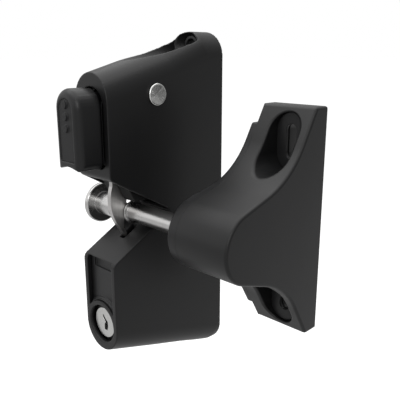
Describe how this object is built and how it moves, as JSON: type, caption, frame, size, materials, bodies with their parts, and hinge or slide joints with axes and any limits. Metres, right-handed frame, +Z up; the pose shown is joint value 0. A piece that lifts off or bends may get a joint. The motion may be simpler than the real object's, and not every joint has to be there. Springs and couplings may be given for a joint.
{
  "type": "gate latch",
  "caption": "Key-lockable gate latch: a slim post body with a push button and a sliding blade across its V mouth, and a bracketed striker pin for the gate.",
  "frame": {"origin": "on the latch body's back face, on its mid plane, at the height of the striker pin's axis; the back face lies flat against the gate post", "axes": "+Y points into the post, so the front of the latch faces -Y; +Z is up; +X points along the striker pin towards the gate"},
  "size_m": [0.1044, 0.0875, 0.1728],
  "materials": {
    "moulded_black": "satin moulded, fine grain",
    "moulded_grey": "satin moulded",
    "moulded_inner": "satin moulded",
    "button_black": "satin moulded, soft edges",
    "pad_black": "fine matt grain",
    "panel_black": "satin moulded",
    "cover_black": "satin moulded",
    "screw_steel": "plain turned",
    "rivet_steel": "dished, fine turned",
    "blade_steel": "brushed along its height",
    "pin_steel": "fine turned and polished",
    "spring_steel": "drawn wire",
    "bar_steel": "rolled",
    "grub_steel": "black oxide",
    "bush_brass": "turned",
    "lock_zinc": "die cast, dulled",
    "cam_zinc": "die cast",
    "key_nickel": "bright nickel plate"
  },
  "bodies": {
    "latch_body": {"latch_housing": "moulded_black", "back_plate": "moulded_grey", "back_plate_screws": "screw_steel", "post_screw_sleeves": "moulded_grey", "blade_guide": "moulded_inner", "guide_rivet": "rivet_steel", "guide_bush": "bush_brass", "label_panel": "panel_black", "lock_barrel": "lock_zinc", "barrel_nut": "screw_steel", "bar_keeper": "moulded_grey", "button_spring": "spring_steel"},
    "button": {"release_button": "button_black", "button_pad": "pad_black"},
    "blade": {"latch_blade": "blade_steel", "blade_cross_pin": "screw_steel"},
    "key_plug": {"lock_plug": "key_nickel", "plug_clip": "screw_steel", "lock_cam": "cam_zinc", "cam_screw": "screw_steel"},
    "locking_bar": {"lock_bar": "bar_steel"},
    "striker": {"striker_bracket": "moulded_black", "striker_cover": "cover_black", "cover_screws": "screw_steel", "slot_plates": "moulded_grey", "pin_insert": "bush_brass", "pin_grub_screw": "grub_steel"},
    "pin": {"striker_pin": "pin_steel"}
  },
  "joints": [
    {"name": "button_press", "type": "slide", "parent": "latch_body", "child": "button", "axis": [0, 1, 0], "range_m": [0, 0.01], "stiffness_N_per_m": 600, "springref_m": -0.006, "deforming": ["button_spring"]},
    {"name": "blade_lift", "type": "slide", "parent": "latch_body", "child": "blade", "axis": [0, 0, 1], "range_m": [0, 0.018]},
    {"name": "key_turn", "type": "hinge", "parent": "latch_body", "child": "key_plug", "pos_m": [0, -0.0715, -0.0543], "axis": [0, -1, 0], "range_deg": [0, 90]},
    {"name": "lock_bar_slide", "type": "slide", "parent": "latch_body", "child": "locking_bar", "axis": [0, 0, 1], "range_m": [0, 0.008]},
    {"name": "striker_play", "type": "slide", "parent": "latch_body", "child": "striker", "axis": [0, 1, 0], "range_m": [-0.0003, 0.0035]},
    {"name": "pin_adjust", "type": "slide", "parent": "striker", "child": "pin", "axis": [1, 0, 0], "range_m": [0, 0.009]}
  ],
  "couplings": [
    {"joint": "blade_lift", "follows": "button_press", "ratio": 1.8},
    {"joint": "lock_bar_slide", "follows": "key_turn", "m_per_rad": 0.0050929}
  ]
}
